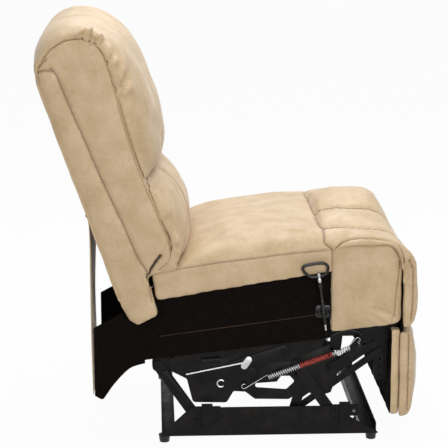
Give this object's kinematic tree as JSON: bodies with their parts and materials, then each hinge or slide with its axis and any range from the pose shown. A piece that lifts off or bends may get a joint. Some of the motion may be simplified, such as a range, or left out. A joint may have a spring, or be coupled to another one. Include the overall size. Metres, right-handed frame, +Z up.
{
  "type": "armless recliner",
  "caption": "Armless recliner seat with a padded reclining back, crowned seat and fold-out footrest on a black steel swing-link base, released by a side pull ring.",
  "frame": {"origin": "on the floor, under the middle of the chair's bounding box", "axes": "+X forward, the way a sitter faces; +Y to the sitter's left; +Z up"},
  "size_m": [0.8858, 0.57, 1.0213],
  "materials": {
    "leatherette": "mottled matt leatherette",
    "cambric": "matt non-woven cloth",
    "black_steel": "satin black enamel",
    "black_plastic": "moulded gloss",
    "spring_wire": "zinc plated",
    "plywood": "plain plywood"
  },
  "bodies": {
    "base": {"side_rail_right": "black_steel", "side_rail_left": "black_steel", "cross_rail_rear": "black_steel", "cross_rail_front": "black_steel", "foot_rear_right": "black_plastic", "foot_rear_left": "black_plastic", "foot_front_right": "black_plastic", "foot_front_left": "black_plastic", "rail_bracket_rear_right": "black_steel", "rail_bracket_rear_left": "black_steel", "rail_bracket_front_right": "black_steel", "rail_bracket_front_left": "black_steel"},
    "rear_links": {"rear_swing_link_right": "black_steel", "rear_swing_link_left": "black_steel"},
    "front_links": {"front_swing_link_right": "black_steel", "front_swing_link_left": "black_steel"},
    "carriage": {"carriage_plate_right": "black_steel", "carriage_plate_left": "black_steel", "carriage_cross_tube": "black_steel", "seat_side_panel_right": "cambric", "seat_side_panel_left": "cambric", "seat_rail_rear": "plywood", "seat_rail_front": "plywood", "seat_spring_1": "spring_wire", "seat_spring_2": "spring_wire", "seat_cushion": "leatherette", "front_side_panel_right": "leatherette", "front_side_panel_left": "leatherette", "front_panel": "leatherette", "front_deck": "plywood", "chaise_pad": "leatherette", "cable_sheath": "black_plastic", "cable_clamp": "black_steel", "gusset_right": "cambric", "gusset_left": "cambric", "outside_back_flap": "leatherette", "return_spring": "spring_wire"},
    "back": {"back_shell": "leatherette", "back_board": "plywood", "headrest_pillow": "leatherette", "lumbar_pillow": "leatherette", "back_leg_right": "leatherette", "back_leg_left": "leatherette", "back_bracket_right": "black_steel", "back_bracket_left": "black_steel"},
    "footrest": {"footrest_panel": "plywood", "legrest_pad": "leatherette", "ottoman_pad": "leatherette", "ottoman_board": "leatherette", "ottoman_bracket_right": "black_steel", "ottoman_bracket_left": "black_steel"},
    "cranks": {"lift_crank_right": "black_steel", "lift_crank_left": "black_steel", "torque_tube": "black_steel"},
    "upper_bars": {"lift_bar_upper_right": "black_steel", "lift_bar_upper_left": "black_steel"},
    "lower_bars": {"lift_bar_lower_right": "black_steel", "lift_bar_lower_left": "black_steel"},
    "pull": {"pull_ring": "black_plastic"},
    "lever": {"release_lever": "black_steel"}
  },
  "joints": [
    {"name": "swing", "type": "hinge", "parent": "base", "child": "rear_links", "pos_m": [-0.09, 0, 0.074], "axis": [0, 1, 0], "range_deg": [0, 64]},
    {"name": "carriage_level", "type": "hinge", "parent": "rear_links", "child": "carriage", "pos_m": [-0.17007, 0, 0.19006], "axis": [0, 1, 0], "range_deg": [-64, 0]},
    {"name": "front_swing", "type": "hinge", "parent": "base", "child": "front_links", "pos_m": [0.235, 0, 0.074], "axis": [0, 1, 0], "range_deg": [0, 64]},
    {"name": "recline", "type": "hinge", "parent": "carriage", "child": "back", "pos_m": [-0.20507, 0, 0.34506], "axis": [0, -1, 0], "range_deg": [0, 28], "deforming": ["outside_back_flap", "gusset_right", "gusset_left"]},
    {"name": "legrest", "type": "hinge", "parent": "carriage", "child": "footrest", "pos_m": [0.41793, 0, 0.44706], "axis": [0, -1, 0], "range_deg": [0, 88]},
    {"name": "lift_crank", "type": "hinge", "parent": "carriage", "child": "cranks", "pos_m": [0.21343, 0, 0.30006], "axis": [0, -1, 0], "range_deg": [0, 88]},
    {"name": "lift_bar_upper", "type": "hinge", "parent": "cranks", "child": "upper_bars", "pos_m": [0.15743, 0, 0.10306], "axis": [0, -1, 0], "range_deg": [-88, 0]},
    {"name": "lift_bar_lower", "type": "hinge", "parent": "cranks", "child": "lower_bars", "pos_m": [0.14786, 0, 0.0694], "axis": [0, -1, 0], "range_deg": [-88, 0]},
    {"name": "pull_release", "type": "slide", "parent": "carriage", "child": "pull", "axis": [-0.1394, -0.0495, 0.989], "range_m": [0, 0.02], "stiffness_N_per_m": 300},
    {"name": "release_lever_turn", "type": "hinge", "parent": "carriage", "child": "lever", "pos_m": [0.27493, 0, 0.19506], "axis": [0, 1, 0], "range_deg": [0, 25.3], "deforming": ["return_spring"]}
  ],
  "couplings": [
    {"joint": "carriage_level", "follows": "swing", "ratio": -1},
    {"joint": "front_swing", "follows": "swing", "ratio": 1},
    {"joint": "recline", "follows": "swing", "ratio": 0.4375},
    {"joint": "lift_crank", "follows": "legrest", "ratio": 1},
    {"joint": "lift_bar_upper", "follows": "legrest", "ratio": -1},
    {"joint": "lift_bar_lower", "follows": "legrest", "ratio": -1},
    {"joint": "release_lever_turn", "follows": "pull_release", "rad_per_m": 22}
  ]
}
